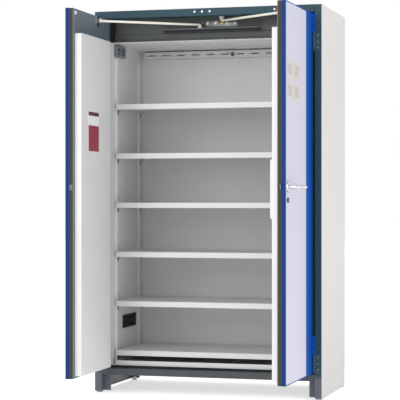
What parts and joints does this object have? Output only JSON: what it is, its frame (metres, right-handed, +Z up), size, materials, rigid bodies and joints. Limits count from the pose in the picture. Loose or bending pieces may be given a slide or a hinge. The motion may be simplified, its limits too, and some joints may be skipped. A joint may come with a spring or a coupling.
{
  "type": "battery cabinet",
  "caption": "Insulated floor-standing cabinet with two wing doors open, closing rods in a head compartment, adjustable shelves, vents and a lever handle.",
  "frame": {"origin": "on the floor, halfway across the cabinet, in the plane of its front frame", "axes": "+X to the right as seen from the front, +Y into the cabinet, +Z up"},
  "size_m": [1.2089, 1.186, 2.013],
  "materials": {
    "panel_grey": "light grey powder coat",
    "frame_anthracite": "dark anthracite powder coat",
    "rail_grey": "grey powder coat",
    "base_steel": "dark powder coat",
    "leg_steel": "grey powder coat",
    "foot_steel": "zinc plated steel",
    "board_grey": "mineral board",
    "liner_grey": "pale grey coated sheet",
    "shelf_grey": "light grey powder coat",
    "tray_grey": "light grey powder coat",
    "standard_steel": "galvanised sheet",
    "clip_steel": "zinc plated steel",
    "grille_black": "black plastic",
    "valve_grey": "blue-grey coated valve",
    "duct_grey": "pale grey coated sheet",
    "spigot_steel": "galvanised sheet",
    "head_anthracite": "dark coated sheet",
    "channel_anthracite": "dark coated sheet",
    "seal_rubber": "black rubber profile",
    "hinge_steel": "plated steel hinge",
    "door_blue": "blue powder coat",
    "core_board": "mineral board",
    "swelling_strip": "brown swelling fire strip",
    "inner_steel": "dark blue-grey powder coat",
    "front_pale": "pale lilac-grey powder coat",
    "box_grey": "light grey powder coat",
    "bracket_steel": "zinc plated steel",
    "rod_white": "white coated tube",
    "cover_grey": "light grey powder coat",
    "rosette_black": "black plastic",
    "lever_steel": "satin steel",
    "bolt_steel": "plated steel"
  },
  "bodies": {
    "cabinet": {"base_plate": "base_steel", "base_shelf": "shelf_grey", "exhaust_duct": "duct_grey", "fire_board_base": "board_grey", "fire_board_left": "board_grey", "fire_board_rear": "board_grey", "fire_board_right": "board_grey", "fire_board_top": "board_grey", "frame_header": "frame_anthracite", "frame_jamb_left": "frame_anthracite", "frame_jamb_right": "frame_anthracite", "frame_seals": "seal_rubber", "guide_channel": "channel_anthracite", "head_back_plate": "head_anthracite", "hinge_frame_halves": "hinge_steel", "levelling_feet": "foot_steel", "liner_ceiling": "liner_grey", "liner_floor": "liner_grey", "liner_left": "liner_grey", "liner_rear": "liner_grey", "liner_right": "liner_grey", "plinth_rail": "rail_grey", "rear_legs": "leg_steel", "rear_panel": "panel_grey", "roof_panel": "panel_grey", "roof_spigots": "spigot_steel", "shelf_1": "shelf_grey", "shelf_2": "shelf_grey", "shelf_3": "shelf_grey", "shelf_4": "shelf_grey", "shelf_5": "shelf_grey", "shelf_clips": "clip_steel", "shelf_standards": "standard_steel", "side_panel_left": "panel_grey", "side_panel_right": "panel_grey", "spill_tray": "tray_grey", "vent_grille": "grille_black", "vent_valve": "valve_grey"},
    "left_door": {"left_hinge_halves": "hinge_steel", "left_door_skin": "door_blue", "left_door_core": "core_board", "left_edge_strip": "swelling_strip", "left_inner_skin": "inner_steel", "left_front_panel": "front_pale", "left_inner_box": "box_grey", "left_rod_bracket": "bracket_steel"},
    "right_door": {"right_hinge_halves": "hinge_steel", "right_door_skin": "door_blue", "right_door_core": "core_board", "right_edge_strip": "swelling_strip", "right_inner_skin": "inner_steel", "right_front_panel": "front_pale", "right_inner_box": "box_grey", "right_rod_bracket": "bracket_steel", "lock_cover": "cover_grey", "handle_rosette": "rosette_black"},
    "left_rod": {"left_closing_rod": "rod_white"},
    "right_rod": {"right_closing_rod": "rod_white"},
    "lever": {"handle_lever": "lever_steel"},
    "bolt": {"latch_bolt": "bolt_steel"}
  },
  "joints": [
    {"name": "left_door_hinge", "type": "hinge", "parent": "cabinet", "child": "left_door", "pos_m": [-0.559, -0.006, 1.0255], "axis": [0, 0, 1], "range_deg": [0, 89]},
    {"name": "right_door_hinge", "type": "hinge", "parent": "cabinet", "child": "right_door", "pos_m": [0.559, -0.006, 1.0255], "axis": [0, 0, -1], "range_deg": [0, 89]},
    {"name": "left_rod_pivot", "type": "hinge", "parent": "left_door", "child": "left_rod", "pos_m": [-0.49152, -0.20485, 1.894], "axis": [0, 0, 1], "range_deg": [-119.8, 0]},
    {"name": "right_rod_pivot", "type": "hinge", "parent": "right_door", "child": "right_rod", "pos_m": [0.49152, -0.20485, 1.912], "axis": [0, 0, -1], "range_deg": [-119.8, 0]},
    {"name": "handle_turn", "type": "hinge", "parent": "right_door", "child": "lever", "pos_m": [0.56985, -0.53027, 1.055], "axis": [-0.9998, 0.0175, 0], "range_deg": [0, 45], "stiffness_Nm_per_rad": 2, "springref_deg": -28.65},
    {"name": "latch_slide", "type": "slide", "parent": "right_door", "child": "bolt", "axis": [0.0175, 0.9998, 0], "range_m": [0, 0.0081]}
  ],
  "couplings": [
    {"joint": "left_rod_pivot", "follows": "left_door_hinge", "ratio": -1.3444},
    {"joint": "right_rod_pivot", "follows": "right_door_hinge", "ratio": -1.3444},
    {"joint": "latch_slide", "follows": "handle_turn", "m_per_rad": 0.010186}
  ]
}
